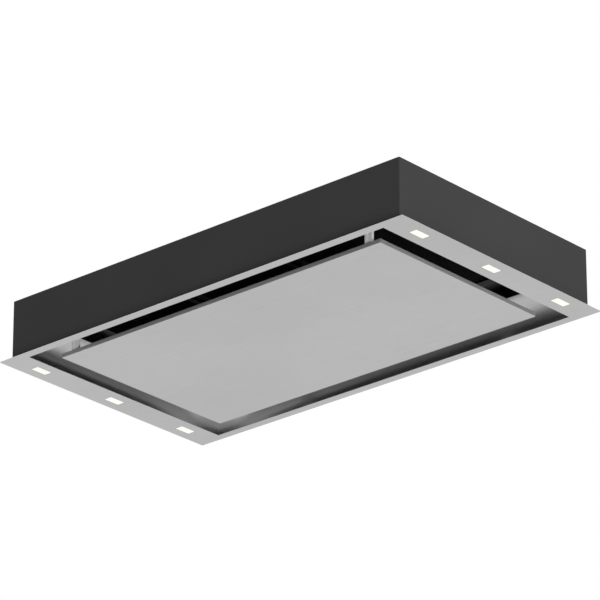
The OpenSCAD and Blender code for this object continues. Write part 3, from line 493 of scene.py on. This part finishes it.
def make_gland():
    """Cable gland with two hexagonal nuts and a ribbed clamping cap, made upright and then laid along X."""
    low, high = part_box("cable_gland")
    length = high[0] - low[0]
    nut_r = (high[2] - low[2]) / 2
    nut_t = NUT_HEIGHT_SHARE * length
    body_r = GLAND_BODY_SHARE * nut_r
    shape = bmesh.new()
    neck = [(body_r, 0.0)]
    for k in range(GLAND_THREAD_N):
        neck.append((body_r - GLAND_THREAD_DEPTH * (k % 2), nut_t + GLAND_THREAD_STEP * k))
    cap = [(body_r, share * length) for share in GLAND_CAP_SHARES]
    bore = [(GLAND_TIP_SHARE * body_r, length), (GLAND_BORE_R, length), (GLAND_BORE_R, 0.0)]
    count = GLAND_RIB_POINTS * GLAND_RIB_N
    rings = [ring(shape, r, z, count) for r, z in neck + cap + bore]
    for made in rings[len(neck):len(neck) + len(cap)]:
        for k, vert in enumerate(made):
            if k % GLAND_RIB_POINTS >= GLAND_RIB_POINTS / 2:
                vert.co.xy *= GLAND_GROOVE_SHARE
    skin(shape, rings, closed=True)
    hole_r = NUT_HOLE_SHARE * body_r
    face_r = NUT_FACE_SHARE * nut_r
    chamfer = NUT_CHAMFER_SHARE * nut_t
    nut = [(hole_r, 0.0), (face_r, 0.0), (nut_r, chamfer), (nut_r, nut_t - chamfer), (face_r, nut_t),
           (hole_r, nut_t)]
    for share in NUT_PLACE_SHARES:
        skin(shape, [ring(shape, r, share * length + up, NUT_SIDES) for r, up in nut], closed=True)
    place = Matrix.Translation((low[0], (low[1] + high[1]) / 2, (low[2] + high[2]) / 2))
    lay_down = Matrix.Rotation(math.pi / 2, 4, "Y")
    bmesh.ops.transform(shape, matrix=place @ lay_down, verts=shape.verts)
    piece = new_piece("gland_detail", shape, "scroll_plastic")
    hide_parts("cable_gland")


def make_lens_rims():
    """Thin rounded rim on the room side of each lamp lens."""
    shape = bmesh.new()
    for points in islands("lamp_lenses"):
        seat = min(point.z for point in points)
        low, high = corners([point for point in points if point.z < seat + TOUCH])
        rings = []
        for inset, rise in LENS_RIM_SHARES:
            x0, y0 = low.x + inset * LENS_RIM_W, low.y + inset * LENS_RIM_W
            x1, y1 = high.x - inset * LENS_RIM_W, high.y - inset * LENS_RIM_W
            z = seat + rise * LENS_RIM_T
            spots = ((x0, y0, z), (x1, y0, z), (x1, y1, z), (x0, y1, z))
            rings.append([shape.verts.new(spot) for spot in spots])
        skin(shape, rings, closed=True)
    new_piece("lens_rims", shape, "bracket_steel")


def make_driver_caps():
    """Terminal covers over both ends of the lamp driver's body, inside its fixing ears."""
    low, high = (Vector(corner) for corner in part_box("lamp_driver"))
    middle = (low + high) / 2
    body_l = (high.x - low.x) * DRIVER_BODY_SHARE
    cap_l = body_l * DRIVER_CAP_SHARE
    size = Vector((cap_l, high.y - low.y + 2 * DRIVER_CAP_PROUD, high.z - low.z - DRIVER_CAP_LIFT))
    reach = (body_l - cap_l + 2 * DRIVER_CAP_PROUD) / 2
    rise = DRIVER_CAP_LIFT / 2 + DRIVER_CAP_PROUD
    shape = bmesh.new()
    for side in (-1, 1):
        made = bmesh.ops.create_cube(shape, size=1.0)["verts"]
        bmesh.ops.scale(shape, verts=made, vec=size)
        bmesh.ops.translate(shape, verts=made, vec=middle + Vector((side * reach, 0.0, rise)))
    bmesh.ops.bevel(shape, geom=shape.edges[:], offset=DRIVER_CAP_ROUND, segments=DRIVER_CAP_ROUND_STEPS,
                    profile=0.5, affect="EDGES")
    new_piece("driver_caps", shape, "lamp_housing")


def make_camera():
    """The photograph's view: from below, turned towards the near corner."""
    right, ahead = math.cos(CAMERA_AZIMUTH), math.sin(CAMERA_AZIMUTH)
    flat = math.cos(CAMERA_ELEVATION)
    across = Vector((right, ahead, 0.0))
    back = Vector((flat * ahead, -flat * right, math.sin(CAMERA_ELEVATION)))
    rise = back.cross(across)
    turn = Matrix((across, rise, back)).transposed() @ Matrix.Rotation(CAMERA_ROLL, 3, "Z")
    data = bpy.data.cameras.new("camera")
    data.sensor_width = CAMERA_SENSOR
    data.lens = CAMERA_LENS
    data.clip_end = CAMERA_REACH
    camera = bpy.data.objects.new("camera", data)
    camera.matrix_world = Matrix.Translation(CAMERA_AIM + back * CAMERA_DISTANCE) @ turn.to_4x4()
    bpy.context.scene.collection.objects.link(camera)
    bpy.context.scene.camera = camera


def seen_rays(tree):
    """One where a ray is a camera, glossy or transmission ray, else zero."""
    path = tree.nodes.new("ShaderNodeLightPath")
    seen = path.outputs["Is Camera Ray"]
    for kind in ("Is Glossy Ray", "Is Transmission Ray"):
        either = tree.nodes.new("ShaderNodeMath")
        either.operation = "MAXIMUM"
        tree.links.new(seen, either.inputs[0])
        tree.links.new(path.outputs[kind], either.inputs[1])
        seen = either.outputs["Value"]
    return seen


def make_world():
    """White for the camera and for reflections, and a plain soft grey light for the rest."""
    world = bpy.data.worlds.new("studio")
    bpy.context.scene.world = world
    world.use_nodes = True
    tree = world.node_tree
    light = tree.nodes["Background"]
    light.inputs["Color"].default_value = (1.0, 1.0, 1.0, 1.0)
    strength = tree.nodes.new("ShaderNodeMapRange")
    strength.inputs["To Min"].default_value = AMBIENT
    strength.inputs["To Max"].default_value = 1.0
    tree.links.new(seen_rays(tree), strength.inputs["Value"])
    tree.links.new(strength.outputs["Result"], light.inputs["Strength"])


def make_lamps():
    """Soft square lamps, aimed at the hood and left out of reflections."""
    for name, place, size, power in LAMPS:
        data = bpy.data.lights.new(name, "AREA")
        data.size = size
        data.energy = power
        lamp = bpy.data.objects.new(name, data)
        lamp.location = place
        lamp.rotation_euler = Vector(place).to_track_quat("Z", "Y").to_euler()
        lamp.visible_glossy = False
        bpy.context.scene.collection.objects.link(lamp)


def make_floor():
    """Pale studio floor, below a camera that looks up at the hood, and white to the camera."""
    bpy.ops.mesh.primitive_plane_add(size=FLOOR_SIZE, location=(0, 0, FLOOR_Z))
    floor = bpy.context.object
    floor.name = "studio_floor"
    made = Finish("studio_floor")
    made.set({"Base Color": rgb(FLOOR_GREY), "Roughness": FLOOR_ROUGHNESS})
    glow = made.node("ShaderNodeEmission")
    blend = made.node("ShaderNodeMixShader")
    made.link(seen_rays(made.tree), blend.inputs["Fac"])
    made.link(made.shader.outputs["BSDF"], blend.inputs[1])
    made.link(glow.outputs["Emission"], blend.inputs[2])
    made.link(blend.outputs["Shader"], made.output.inputs["Surface"])
    floor.data.materials.append(made.material)


dress_nodes()
make_screws("roof_screws", "roof_screw_heads")
make_screws("blower_box_screws", "box_screw_heads")
make_gland()
make_driver_caps()
make_lens_rims()
make_camera()
make_world()
make_lamps()
make_floor()

bpy.context.scene.view_settings.view_transform = "Standard"
